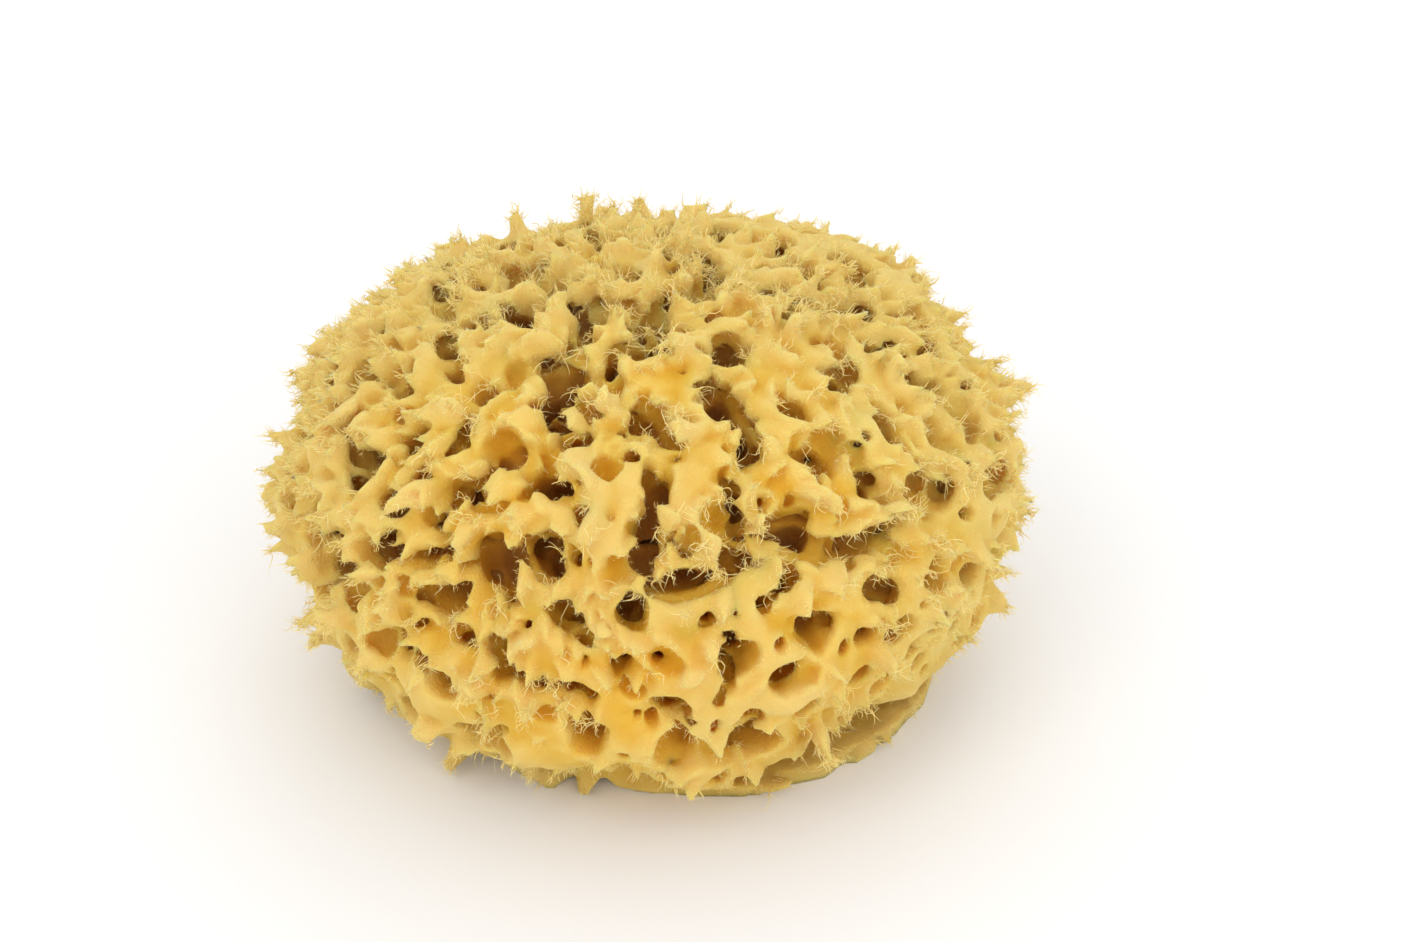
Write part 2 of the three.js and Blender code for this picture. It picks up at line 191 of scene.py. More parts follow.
def grown_canals(numbers):
    """Canals as (place, axes, width, height, depth): the front's own, then the random ones between them."""
    canals = [(*spot_at(way_to(az, el)), w, h, d) for az, el, w, h, d in FRONT_CANALS]
    places = [canal[0] for canal in canals]
    reaches = [FLARE * (w + h) / 4 for _, _, w, h, _ in canals]
    tries = 0
    while len(canals) < len(FRONT_CANALS) + CANAL_COUNT and tries < MOST_TRIES:
        tries += 1
        width = numbers.between(*CANAL_WIDTH)
        place, axes = spot_at(numbers.way())
        height = width * numbers.between(*CANAL_STRETCH)
        depth = numbers.between(*CANAL_DEPTH)
        reach = FLARE * (width + height) / 4
        gaps = np.linalg.norm(np.array(places) - place, axis=1)
        if place[2] > 0 and np.all(gaps > np.array(reaches) + reach + CANAL_WALL):
            canals.append((place, axes, width, height, depth))
            places.append(place)
            reaches.append(reach)
    return canals


def grown_fingers(numbers, canals):
    """Fingers as (place, axes, length, thickness): the front's leaning ones and random ones on the walls."""
    front = []
    for azimuth, elevation, length, thickness, to_right, upwards in FRONT_FINGERS:
        place, axes = spot_at(way_to(azimuth, elevation))
        front.append((place, leant(axes, to_right, upwards), length, thickness))
    mouths = np.array([canal[0] for canal in canals])
    reaches = np.array([FLARE * (w + h) / 4 for _, _, w, h, _ in canals])
    rooms = [(place, thickness) for place, _, _, thickness in front]
    found = []
    for _ in range(MOST_TRIES):
        if len(found) >= FINGER_COUNT:
            break
        place, axes = spot_at(numbers.way())
        length = numbers.between(*FINGER_LENGTH)
        thickness = numbers.between(*FINGER_THICKNESS)
        half = thickness / 2
        clear = np.all(np.linalg.norm(mouths - place, axis=1) > reaches + half + FINGER_WALL)
        clear = clear and all(np.linalg.norm(place - other) > half + room for other, room in rooms)
        if clear and place[2] > 0:
            found.append((place, axes, length, thickness))
            rooms.append((place, thickness / 2 + FINGER_WALL))
    return front, found


# ---- the body as a field


MARGIN = 8.0
ROOM_LOW = LOW - np.array([MARGIN, MARGIN, 2.0])
ROOM_HIGH = HIGH + MARGIN
GRID_SHAPE = tuple(int(n) for n in np.ceil((ROOM_HIGH - ROOM_LOW) / VOXEL))
GRID_X, GRID_Y, GRID_Z = (ROOM_LOW[i] + VOXEL * np.arange(GRID_SHAPE[i], dtype=np.float32) for i in range(3))
FAR = 8.0  # where a field says no more than that nothing is near
COARSE = 2  # grid points a step of the grids of openness


def spline_weights(along, start, step, count):
    """Cubic B-spline weights that spread a row of values, which begins at start, over the places along it."""
    steps = (along - start) / step
    base = np.floor(steps).astype(int)
    t = steps - base
    weights = np.zeros((len(along), count), dtype=np.float32)
    taps = ((1 - t) ** 3, 3 * t**3 - 6 * t**2 + 4, -3 * t**3 + 3 * t**2 + 3 * t + 1, t**3)
    for tap, share in enumerate(taps):
        weights[np.arange(len(along)), base + tap - 1] = share / 6
    return weights


def lattice_rows(step):
    """Where the values of a coarse lattice lie along each axis, reaching a little past the grid."""
    return [np.arange(low - 1.5 * step, high + 3 * step, step) for low, high in zip(ROOM_LOW, ROOM_HIGH)]


def spread(lattice, step):
    """A coarse lattice of values spread smoothly over the whole grid."""
    wx, wy, wz = (
        spline_weights(along, row[0], step, len(row))
        for along, row in zip((GRID_X, GRID_Y, GRID_Z), lattice_rows(step))
    )
    return np.matmul(np.matmul(wy, np.tensordot(wx, lattice.astype(np.float32), (1, 0))), wz.T)


def smooth_noise(rng, period):
    """A smooth random field over the grid, mostly within -1 and 1, whose lumps are about one period wide."""
    return 2.2 * spread(rng.uniform(-1, 1, [len(row) for row in lattice_rows(period)]), period)


HEIGHT_STEP = 3.0
FOOT_DIP = (46, -25, 17, 5.0)  # azimuth, elevation, spread and depth of the dip over the sheet at the foot


def height_field():
    """Height over the smooth body at each grid point, worked out coarsely and spread smoothly."""
    x, y, z = np.meshgrid(*(row - c for row, c in zip(lattice_rows(HEIGHT_STEP), CENTRE)), indexing="ij")
    distance = np.maximum(np.sqrt(x**2 + y**2 + z**2), 1e-3)
    x, y, z = x / distance, y / distance, z / distance
    azimuth, elevation, reach, depth = FOOT_DIP
    middle = way_to(azimuth, elevation)
    off = np.degrees(np.arccos(np.clip(x * middle[0] + y * middle[1] + z * middle[2], -1, 1)))
    radius = spread(body_radius(x, y, z) - depth * np.exp(-((off / reach) ** 2)), HEIGHT_STEP)
    x, y, z = (row - c for row, c in zip((GRID_X, GRID_Y, GRID_Z), CENTRE))
    return np.sqrt(x[:, None, None] ** 2 + y[:, None] ** 2 + z**2) - radius


def block_round(low, high):
    """Slices of the grid that hold a box, with the box's coordinates ready to broadcast."""
    first = np.clip(np.floor((low - ROOM_LOW) / VOXEL).astype(int), 0, GRID_SHAPE)
    last = np.clip(np.ceil((high - ROOM_LOW) / VOXEL).astype(int) + 1, 0, GRID_SHAPE)
    slices = tuple(slice(a, b) for a, b in zip(first, last))
    x, y, z = (row[part] for row, part in zip((GRID_X, GRID_Y, GRID_Z), slices))
    return slices, x[:, None, None], y[None, :, None], z[None, None, :]


def block_along(place, axes, above, below, reach, warp=None):
    """Slices round a spot's outward line, with coordinates to its right, upwards and outwards."""
    ends = np.array([place + axes[2] * above, place - axes[2] * below])
    slices, *lines = block_round(ends.min(0) - reach, ends.max(0) + reach)
    if warp is not None:
        lines = [line + bend[slices] for line, bend in zip(lines, warp)]
    offsets = [line - start for line, start in zip(lines, place)]
    return slices, *(sum(off * float(part) for off, part in zip(offsets, axis)) for axis in axes)


def smooth_min(one, other, blend):
    """The lower of two fields, with the edge between them rounded over a width of about blend."""
    share = np.clip(0.5 + 0.5 * (other - one) / blend, 0, 1)
    return other + (one - other) * share - blend * share * (1 - share)


def ramp(value, low, high):
    """0 up to low, 1 from high on, and a smooth step between them."""
    share = np.clip((value - low) / (high - low), 0, 1)
    return share * share * (3 - 2 * share)


CANAL_BLEND = 1.8  # how softly neighbouring canals run into each other
CANAL_BEND = 0.35  # the most that a canal wanders sideways, as a share of its depth
CANAL_TAPER = 0.2  # how much of its width a canal has lost at its end
MOUTH_RISE = 9.0  # how far out over the body a canal's funnel still opens the walls
FLARE_BELOW, FLARE_RUN = 5.0, 9.0  # the funnel starts this far under the skin and widens over this run


def carve_canal(empty, warp, place, axes, width, height, depth, flare, rng):
    """Adds one canal to the field of emptiness: a wandering funnel, oval, with a rounded end."""
    mean = (width + height) / 4
    reach = max(width, height) / 2 * (1 + flare) + 4
    slices, right, up, out = block_along(place, axes, MOUTH_RISE, depth + 2, reach, warp)
    deep = np.clip(-out / depth, 0, 1) ** 2
    bend = rng.uniform(-CANAL_BEND, CANAL_BEND, 2) * depth
    right = (right - bend[0] * deep) / (width / 2)
    up = (up - bend[1] * deep) / (height / 2)
    across = np.sqrt(right**2 + up**2 + 1e-6)
    radius = 1 - CANAL_TAPER + CANAL_TAPER * np.clip(1 + out / depth, 0, 1)
    radius = radius + flare * np.clip((out + FLARE_BELOW) / FLARE_RUN, 0, 1) ** 1.6
    radius = radius * np.sqrt(np.clip((out + depth) / mean, 0, 1))
    distance = np.maximum((across - radius) * mean, -(out + depth))
    empty[slices] = smooth_min(empty[slices], distance, CANAL_BLEND)


FINGER_LOSS = 0.5  # how much shorter a finger is than in the CAD, for the spines on its end
FINGER_ROOT = 5.0  # how deep a finger is rooted in the body
FINGER_FLATNESS = 0.55
FINGER_BLEND = 2.5


def add_finger(solid, warp, place, axes, length, thickness, rng):
    """Adds one wall end to the solid's field: a flattened cone, bent a little."""
    reach = thickness / 2 + 3
    slices, right, up, out = block_along(place, axes, length + 2, FINGER_ROOT, reach, warp)
    turn = rng.uniform(0, math.pi)
    wide = right * math.cos(turn) + up * math.sin(turn)
    thin = (up * math.cos(turn) - right * math.sin(turn)) / FINGER_FLATNESS
    taper = thickness / 2 * (1.25 - 0.6 * np.clip(out / length, 0, 1.2))
    distance = np.maximum(np.sqrt(wide**2 + thin**2 + 1e-6) - taper, out - length)
    solid[slices] = smooth_min(solid[slices], distance, FINGER_BLEND)


LOWEST_WAY = -0.62  # sine of the elevation under which a direction leaves through the cut


def random_ways(rng, count):
    """Unit vectors in every direction but those that leave through the cut underneath."""
    ways = rng.normal(size=(count, 3))
    ways /= np.linalg.norm(ways, axis=1, keepdims=True)
    return ways[ways[:, 2] > LOWEST_WAY]


def degrees_from(ways, azimuth, elevation):
    """How far unit vectors are turned away from one direction."""
    return np.degrees(np.arccos(np.clip(ways @ way_to(azimuth, elevation), -1, 1)))


PORED_PATCH = (24, -1, 24)  # azimuth, elevation and spread of the calm patch with round pores
PATCH_CALM = 0.85


def liveliness(ways):
    """0 low on the body and on the pored patch, where the skin is calmer, to 1 on its upper half."""
    azimuth, elevation, reach = PORED_PATCH
    patch = np.exp(-((degrees_from(ways, azimuth, elevation) / reach) ** 2))
    return ramp(ways[..., 2], -0.25, 0.15) * (1 - PATCH_CALM * patch)


FURROW = [(-50, 8), (-34, 9), (-12, 12), (12, 13), (30, 16), (56, 14)]  # azimuth and elevation along it
FURROW_HALF = 2.8  # degrees above and below its line
FURROW_DEPTH = 10.0
FURROW_RISE = 0.5  # degrees that its line rises for each millimetre inwards
FURROW_WANDER = 4.5


def between_ends(azimuth, first, last):
    """1 well between two azimuths and 0 well outside them."""
    return ramp(azimuth, first - 6, first + 6) * ramp(-azimuth, -last - 6, -last + 6)


def carve_furrow(empty, height, wander, ripples):
    """A groove across the front, running in under the lobes above it."""
    low, high = np.array([-62, -80, GIRTH_HEIGHT - 12]), np.array([66, -24, GIRTH_HEIGHT + 34])
    slices, x, y, z = block_round(low, high)
    x, y, z = x - CENTRE[0], y - CENTRE[1], z - CENTRE[2]
    azimuth = np.degrees(np.arctan2(x, -y))
    elevation = np.degrees(np.arctan2(z, np.hypot(x, y)))
    over = height[slices]
    line = np.interp(azimuth, *zip(*FURROW)) - FURROW_RISE * over + FURROW_WANDER * wander[slices]
    ends = between_ends(azimuth, FURROW[0][0], FURROW[-1][0])
    half = FURROW_HALF * ends * np.clip(1.1 + over / FURROW_DEPTH, 0, 1.6) - 1.5 * (1 - ends)
    distance = np.abs(elevation - line) - half
    distance = np.maximum(distance + 0.9 * ripples[slices], over - 0.5)
    empty[slices] = smooth_min(empty[slices], distance, blend=1.2)


UNDERCUT_ENDS = (22, 84)
UNDERCUT_HEIGHT = 8.2
UNDERCUT_HALF = 4.2
UNDERCUT_INNER = 46.0  # how near to the middle it runs


def carve_undercut(empty, wander):
    """The gap between the thin sheet at the foot on the right and the body above it."""
    slices, x, y, z = block_round(np.array([5, -66, 0]), np.array([76, 8, 18]))
    azimuth = np.degrees(np.arctan2(x, -y))
    ends = between_ends(azimuth, *UNDERCUT_ENDS)
    inner = UNDERCUT_INNER + 20 * (1 - ends) + 1.5 * wander[slices]
    distance = np.maximum(inner - np.hypot(x, 1.18 * y), np.abs(z - UNDERCUT_HEIGHT) - UNDERCUT_HALF)
    empty[slices] = smooth_min(empty[slices], distance, blend=1.5)


# centre x, y, z and half lengths
FOOT_HOLLOWS = [
    (-3, -50, 6, 14, 8, 8),
    (20, -58, 23, 10, 7, 5.5),
    (-30, -48, 8, 9, 7, 7),
]


def carve_foot(empty):
    """Smooth round hollows at the foot of the front."""
    for *centre, long, wide, tall in FOOT_HOLLOWS:
        reach = np.array([long, wide, tall])
        slices, x, y, z = block_round(np.array(centre) - reach - 3, np.array(centre) + reach + 3)
        away = np.sqrt(sum(((p - c) / r) ** 2 for p, c, r in zip((x, y, z), centre, reach)))
        empty[slices] = smooth_min(empty[slices], (away - 1) * tall, blend=0.8)


# the outline of the sheet at the foot, seen from above; no side of it runs level with x
FLAP = [(12, -22), (27, -39), (36, -36), (43.5, -30), (51, -24), (56.5, -14), (59, -5), (30, 0)]
FLAP_THICKNESS = 3.6


def add_flap(field, wander):
    """The thin sheet left along the rock at the foot on the right."""
    corners = np.array(FLAP, float)
    low, high = corners.min(0) - 3, corners.max(0) + 3
    slices, x, y, z = block_round(np.array([*low, -2]), np.array([*high, FLAP_THICKNESS + 3]))
    x, y = x[..., 0], y[..., 0]
    away, inside = np.full(np.broadcast_shapes(x.shape, y.shape), FAR), False
    for (x0, y0), (x1, y1) in zip(corners, np.roll(corners, -1, axis=0)):
        right, back = x1 - x0, y1 - y0
        share = np.clip(((x - x0) * right + (y - y0) * back) / (right**2 + back**2), 0, 1)
        away = np.minimum(away, np.hypot(x - x0 - share * right, y - y0 - share * back))
        crosses = (y0 > y) != (y1 > y)
        inside = inside ^ (crosses & (x < x0 + (y - y0) * right / back))
    distance = np.where(inside, -away, away)[..., None]
    distance = np.maximum(distance - 0.8 + 1.2 * wander[slices], z - FLAP_THICKNESS - 0.8 * wander[slices])
    field[slices] = smooth_min(field[slices], distance, blend=0.8)


SCALLOPS = 2200
SCALLOP_RISE = (-9.0, 5.5)  # where their middles lie over the smooth body
SCALLOP_RADIUS = (1.7, 4.0)
CALM_SCALLOPS = 0.2  # the share of them that the calm skin has


def carve_scallops(empty, rng):
    """Small round hollows all over the skin; where they meet, the walls are left with edges and points."""
    ways = random_ways(rng, SCALLOPS)
    chance = CALM_SCALLOPS + (1 - CALM_SCALLOPS) * liveliness(ways)
    ways = ways[rng.uniform(size=len(ways)) < chance]
    rises = rng.uniform(*SCALLOP_RISE, len(ways))
    radii = rng.uniform(*SCALLOP_RADIUS, len(ways))
    places = CENTRE + ways * (body_radius(*ways.T) + rises)[:, None]
    for place, radius in zip(places, radii):
        slices, x, y, z = block_round(place - radius - 1.5, place + radius + 1.5)
        distance = np.sqrt((x - place[0]) ** 2 + (y - place[1]) ** 2 + (z - place[2]) ** 2) - radius
        np.minimum(empty[slices], distance, out=empty[slices])


# azimuth, elevation, width and height of the mouth
FRONT_PORES = [
    (22, 11, 2.5, 2.5), (24, 4, 2.5, 2.5), (17, 1.5, 3.5, 2.3), (15.5, 7.5, 2.9, 1.6), (26, -3, 3.9, 3.3),
    (32.5, 0, 2.7, 2.7), (45, 6, 4.3, 4.3), (50.5, -4.5, 4, 4), (3.5, 3.5, 2.3, 2.3), (15.5, -2, 2.1, 2.1),
    (18.5, -12, 3.3, 3.3), (41, -15, 1.7, 1.7), (38, -3, 2.5, 2.5), (-2.5, -17.5, 2, 2), (34, 4.5, 2.3, 2.3),
    (67, 9, 2.3, 2.3), (50.5, 22.5, 3, 3), (-48.5, 20.5, 2, 2), (56, 29.5, 2, 2), (18.5, 19.5, 3.5, 3.5),
    (-1.5, 12, 3.8, 3.8),
]
FRONT_PORE_SCALE = 1.2  # they are cut this much wider, because the skin rounds their mouths
FRONT_PORE_DEPTH = 10.0
PORES = 420
PORE_WIDTH, PORE_STRETCH, PORE_DEPTH = (1.5, 2.8), (0.7, 1.3), (4, 8)
LIVELY_PORES = 0.3  # the share of them that the lively skin has
PORE_TOP = 7.0  # how far out over the body a pore still cuts
PORE_FUNNEL = 0.05


def carve_pore(empty, way, width, tall, depth):
    """One small straight pore with an oval mouth."""
    place, axes = spot_at(way)
    reach = max(width, tall) / 2 + 2
    slices, right, up, out = block_along(place, axes, PORE_TOP, depth + 1, reach)
    across = np.sqrt((right / width) ** 2 + (up / tall) ** 2) * 2
    sides = (across - 1 - PORE_FUNNEL * np.maximum(out, 0)) * min(width, tall) / 2
    empty[slices] = smooth_min(empty[slices], np.maximum(sides, -(out + depth)), blend=0.5)


def carve_pores(empty, rng):
    for azimuth, elevation, width, tall in FRONT_PORES:
        width, tall = FRONT_PORE_SCALE * width, FRONT_PORE_SCALE * tall
        carve_pore(empty, way_to(azimuth, elevation), width, tall, FRONT_PORE_DEPTH)
    ways = random_ways(rng, PORES)
    chance = 1 - (1 - LIVELY_PORES) * liveliness(ways)
    for way in ways[rng.uniform(size=len(ways)) < chance]:
        width = rng.uniform(*PORE_WIDTH)
        carve_pore(empty, way, width, width * rng.uniform(*PORE_STRETCH), rng.uniform(*PORE_DEPTH))


HIT_FROM, HIT_RUN, HIT_STEP = 7.0, 16.0, 0.4  # the search starts so far outside the body and runs inwards


def first_hits(field, ways):
    """Where straight lines from outside towards the centre first meet the body."""
    reach = body_radius(*ways.T) + HIT_FROM
    steps = np.arange(0, HIT_RUN, HIT_STEP)
    lines = CENTRE + ways[:, None] * (reach[:, None] - steps)[..., None]
    inside = field[grid_spots(lines, field.shape)] < 0
    found = inside.any(axis=1)
    places = lines[np.arange(len(ways)), inside.argmax(axis=1)]
    return places[found], ways[found]


def grid_spots(places, shape, step=VOXEL):
    """Indices of the grid points nearest to places."""
    spots = np.rint((places - ROOM_LOW) / step).astype(int)
    return tuple(np.clip(spots[..., axis], 0, shape[axis] - 1) for axis in range(3))


def apart(places, gap):
    """Which places to keep so that no two share a cube of side gap."""
    _, first = np.unique(np.floor(places / gap).astype(int), axis=0, return_index=True)
    return np.sort(first)


SPINE_TRIES = 20000
SPINE_CREST, SPINE_REACH = 0.6, 2.0  # how empty it is, and how far round, where a spine may stand
SPINE_GAP = 4.0
CALM_SPINES = 0.25  # the share of them that the calm skin has
SPINE_LOWEST = 13.0
SPINE_RISES = (-3.0, 2.6)  # how far under and over the smooth body a spine may stand
CROWN_LOSS = 1.6  # how much less far over it at the crown
SPINE_LENGTH, SPINE_THICKNESS = (2.0, 5.0), (1.2, 2.3)
SPINE_SPLAY, SPINE_DROOP = 0.3, 0.2
FAN = 0.75  # 0 for a round spine, towards 1 for a flat one
PORE_CLEARANCE = 4.0  # degrees round the middle of a front pore where no spine grows


def spine_spots(field, height, rng):
    """Places for spines and their outward directions, on crests that are apart from each other."""
    opened = openness(field, SPINE_REACH)
    places, ways = first_hits(field, random_ways(rng, SPINE_TRIES))
    crest = opened[grid_spots(places, opened.shape, COARSE * VOXEL)]
    rise = height[grid_spots(places, height.shape)]
    mouths = np.array([way_to(azimuth, elevation) for azimuth, elevation, _, _ in FRONT_PORES])
    clear = (ways @ mouths.T).max(axis=1) < math.cos(math.radians(PORE_CLEARANCE))
    lowest, highest = SPINE_RISES
    highest = highest - CROWN_LOSS * ramp(places[:, 2], *CROWN_HEIGHTS)
    chosen = (crest > SPINE_CREST) & (rise > lowest) & (rise < highest) & clear
    places, ways = places[chosen], ways[chosen]
    kept = apart(places, SPINE_GAP)
    places, ways = places[kept], ways[kept]
    keep = rng.uniform(size=len(places)) < CALM_SPINES + (1 - CALM_SPINES) * liveliness(ways)
    keep &= places[:, 2] > SPINE_LOWEST
    return places[keep], ways[keep]


def add_spines(field, height, rng):
    """Flat pointed fans on the crests of the walls, drooping a little, their bases flowing into the wall."""
    for place, way in zip(*spine_spots(field, height, rng)):
        length, thickness = rng.uniform(*SPINE_LENGTH), rng.uniform(*SPINE_THICKNESS)
        out = way + rng.normal(0, SPINE_SPLAY, 3) - [0, 0, SPINE_DROOP]
        out /= np.linalg.norm(out)
        aside = np.cross(out, rng.normal(size=3))
        aside /= np.linalg.norm(aside)
        tip = place + out * length
        slices, x, y, z = block_round(np.minimum(place, tip) - 3.5, np.maximum(place, tip) + 3.5)
        x, y, z = x - place[0], y - place[1], z - place[2]
        along = x * out[0] + y * out[1] + z * out[2]
        wide = x * aside[0] + y * aside[1] + z * aside[2]
        away = np.sqrt(np.maximum(x**2 + y**2 + z**2 - along**2 - FAN * wide**2, 0))
        distance = away - thickness / 2 * (1 - 0.85 * np.clip(along / length, 0, 1.2))
        distance = np.maximum(np.maximum(distance, along - length), -along - 1.5)
        field[slices] = smooth_min(field[slices], distance, blend=1.3)


SCENE_SEED = 7
BASE_RISE = 0.8  # of the skin over the smooth body, before the broad swells and the lumps
SWELL_PERIOD, SWELL_RISE = 11.0, 2.8
LUMP_PERIOD, LUMP_RISE = 5.8, 2.3
RIPPLE_PERIOD, RIPPLE_RISE, RIPPLE_AT_SKIN = 2.8, 0.25, 0.35
GRAIN_PERIOD, GRAIN_RISE = 1.5, 0.33
WARP = ((1.2, 8.0), (0.7, 3.4))  # size and period of the bends that every canal and finger follows
HIGHEST = (4.2, 2.4)  # the most that the lumps rise over the smooth body, and how much less at the crown
CROWN_HEIGHTS = (66.0, 84.0)
CALM_HEIGHTS = (22.0, 48.0)  # hollows are few below the first height and usual above the second
CALM_SHARE = 0.25  # how far the threshold of the hollows is raised in the calm part
POCKETS = (8.0, 0.7, 3.8, 16)  # period, threshold, steepness and greatest depth of the wide hollows
PITS = (4.4, 0.72, 2.3, 14)  # and of the narrow ones
CANAL_FLARE = (0.4, 0.9)
EDGE_BLEND = 1.1  # how softly the edges of the walls are rounded
TUFT_PERIOD = 9.0  # of the field that says where the tufts stand close together
REOPENED = (1.05, 3.0, 0.15)  # how much wider and deeper, and with what flare, the front canals are cut again


def hollows(height, calm, kind, rng):
    """Hollows wherever a random field is over a threshold."""
    period, threshold, steepness, depth = kind
    noise = smooth_noise(rng, period)
    return np.maximum((threshold + CALM_SHARE * calm - noise) * steepness, -height - depth)


def sponge_field():
    """The sponge as a field, below 0 inside it, its height over the smooth body and where tufts stand."""
    rng = np.random.default_rng(SCENE_SEED)
    numbers = NumberStream(CAD_SEED)
    canals = grown_canals(numbers)
    leaning, fingers = grown_fingers(numbers, canals)
    height = height_field()
    swells = np.maximum(smooth_noise(rng, SWELL_PERIOD), -0.5)
    lumps = smooth_noise(rng, LUMP_PERIOD)
    ripples = smooth_noise(rng, RIPPLE_PERIOD)
    grain = smooth_noise(rng, GRAIN_PERIOD)
    warp = [sum(size * smooth_noise(rng, period) for size, period in WARP) for _ in range(3)]
    highest = HIGHEST[0] - HIGHEST[1] * ramp(GRID_Z, *CROWN_HEIGHTS)
    solid = np.maximum(height - BASE_RISE - SWELL_RISE * swells - LUMP_RISE * lumps, height - highest)
    calm = 1 - ramp(GRID_Z, *CALM_HEIGHTS)
    pockets = hollows(height, calm, POCKETS, rng)
    pits = hollows(height, calm, PITS, rng)
    empty = smooth_min(pockets, pits, blend=1.0)
    for place, axes, width, tall, depth in canals:
        carve_canal(empty, warp, place, axes, width, tall, depth, rng.uniform(*CANAL_FLARE), rng)
    for place, axes, length, thickness in leaning + fingers:
        add_finger(solid, warp, place, axes, length - FINGER_LOSS, thickness, rng)
    carve_scallops(empty, rng)
    carve_pores(empty, rng)
    wider, deeper, flare = REOPENED
    for place, axes, width, tall, depth in canals[: len(FRONT_CANALS)]:
        carve_canal(empty, warp, place, axes, wider * width, wider * tall, depth + deeper, flare, rng)
    carve_furrow(empty, height, lumps, ripples)
    carve_foot(empty)
    carve_undercut(empty, lumps)
    near_skin = ramp(height, -8, 0)
    field = -smooth_min(-solid, empty, EDGE_BLEND)
    field += (RIPPLE_RISE + RIPPLE_AT_SKIN * near_skin) * ripples + GRAIN_RISE * grain
    add_spines(field, height, rng)
    add_flap(field, lumps)
    field = np.maximum(field, -GRID_Z[None, None, :])
    field[[0, -1]] = field[:, [0, -1]] = field[:, :, [0, -1]] = FAR
    return field, height, smooth_noise(rng, TUFT_PERIOD)


# ---- the body as a mesh


BODY_FACES = 196_000


def largest_shell(points, quads):
    """The biggest connected piece of a mesh; the crumbs that carving left loose are dropped."""
    label = np.arange(len(points))
    pairs = np.concatenate([quads[:, (0, 1)], quads[:, (1, 2)], quads[:, (2, 3)]])
    while len(pairs):
        low, high = np.sort(label[pairs], axis=1).T
        np.minimum.at(label, high, low)
        while not np.array_equal(label, label[label]):
            label = label[label]
        pairs = pairs[label[pairs[:, 0]] != label[pairs[:, 1]]]
    names, counts = np.unique(label[quads[:, 0]], return_counts=True)
    quads = quads[label[quads[:, 0]] == names[counts.argmax()]]
    kept, quads = np.unique(quads, return_inverse=True)
    return points[kept], quads.reshape(-1, 4)


def mesh_from(name, points, faces):
    """A mesh of faces that all have the same number of corners, points in metres."""
    mesh = bpy.data.meshes.new(name)
    corners = faces.shape[1]
    mesh.vertices.add(len(points))
    mesh.vertices.foreach_set("co", np.asarray(points, dtype=np.float32).ravel())
    mesh.loops.add(faces.size)
    mesh.loops.foreach_set("vertex_index", faces.astype(np.int32).ravel())
    mesh.polygons.add(len(faces))
    mesh.polygons.foreach_set("loop_start", np.arange(0, faces.size, corners, dtype=np.int32))
    mesh.update(calc_edges=True)
    mesh.shade_smooth()
    return mesh


def add_object(name, mesh):
    made = bpy.data.objects.new(name, mesh)
    bpy.context.scene.collection.objects.link(made)
    return made


def thinned(mesh, most_faces):
    """The mesh as triangles, with edges collapsed where it is flattest until it has at most so many faces."""
    holder = add_object("thinning", mesh)
    modifier = holder.modifiers.new("thin", "DECIMATE")
    modifier.ratio = most_faces / (2 * len(mesh.polygons))
    modifier.use_collapse_triangulate = True
    graph = bpy.context.evaluated_depsgraph_get()
    result = bpy.data.meshes.new_from_object(holder.evaluated_get(graph), depsgraph=graph)
    bpy.data.objects.remove(holder)
    bpy.data.meshes.remove(mesh)
    return result


def body_mesh(field):
    """The skin of the field as one closed mesh, flat on its cut."""
    limit = 3 * VOXEL
    grid = openvdb.FloatGrid(limit)
    grid.copyFromArray(np.clip(field, -limit, limit))
    grid.transform = openvdb.createLinearTransform(voxelSize=VOXEL)
    points, quads = grid.convertToQuads(isovalue=0)
    points, quads = largest_shell(points, quads)
    points = points + ROOM_LOW
    points[:, 2] = np.where(points[:, 2] < 0.6 * VOXEL, 0, points[:, 2])
    mesh = thinned(mesh_from("sponge_body", points * MM, quads), BODY_FACES)
    mesh.shade_smooth()
    return mesh


def box_mean(values, reach):
    """Mean over a cube round each point, reach points to each side."""
    for axis in range(3):
        pad = [(reach + 1, reach) if a == axis else (0, 0) for a in range(3)]
        total = np.cumsum(np.pad(values, pad, mode="edge"), axis=axis, dtype=np.float32)
        near = [slice(None)] * 3
        far = [slice(None)] * 3
        near[axis], far[axis] = slice(0, -2 * reach - 1), slice(2 * reach + 1, None)
        values = (total[tuple(far)] - total[tuple(near)]) / (2 * reach + 1)
    return values


def sampled(grid, step, places):
    """Values of a grid at places, with straight-line blending between its points."""
    spot = (places - ROOM_LOW) / step
    spot = np.clip(spot, 0, np.array(grid.shape) - 1.001)
    base = spot.astype(int)
    share = spot - base
    total = 0
    for corner in np.ndindex(2, 2, 2):
        weight = np.prod(np.where(corner, share, 1 - share), axis=1)
        total = total + weight * grid[tuple((base + corner).T)]
    return total


def vertex_vectors(source, name):
    values = np.empty(len(source) * 3, dtype=np.float32)
    source.foreach_get(name, values)
    return values.reshape(-1, 3)


def vertex_places(mesh):
    return vertex_vectors(mesh.vertices, "co")


def vertex_normals(mesh):
    return vertex_vectors(mesh.vertex_normals, "vector")


def give_attribute(mesh, name, values):
    attribute = mesh.attributes.new(name, "FLOAT", "POINT")
    attribute.data.foreach_set("value", np.asarray(values, dtype=np.float32))


def openness(field, reach_mm):
    """How much of the room within reach of each point of a coarser grid is empty, 0 to 1."""
    solid = (field[::COARSE, ::COARSE, ::COARSE] < 0).astype(np.float32)
    return 1 - box_mean(solid, max(1, round(reach_mm / (COARSE * VOXEL))))


def unit(vectors):
    return vectors / np.linalg.norm(vectors, axis=1, keepdims=True)


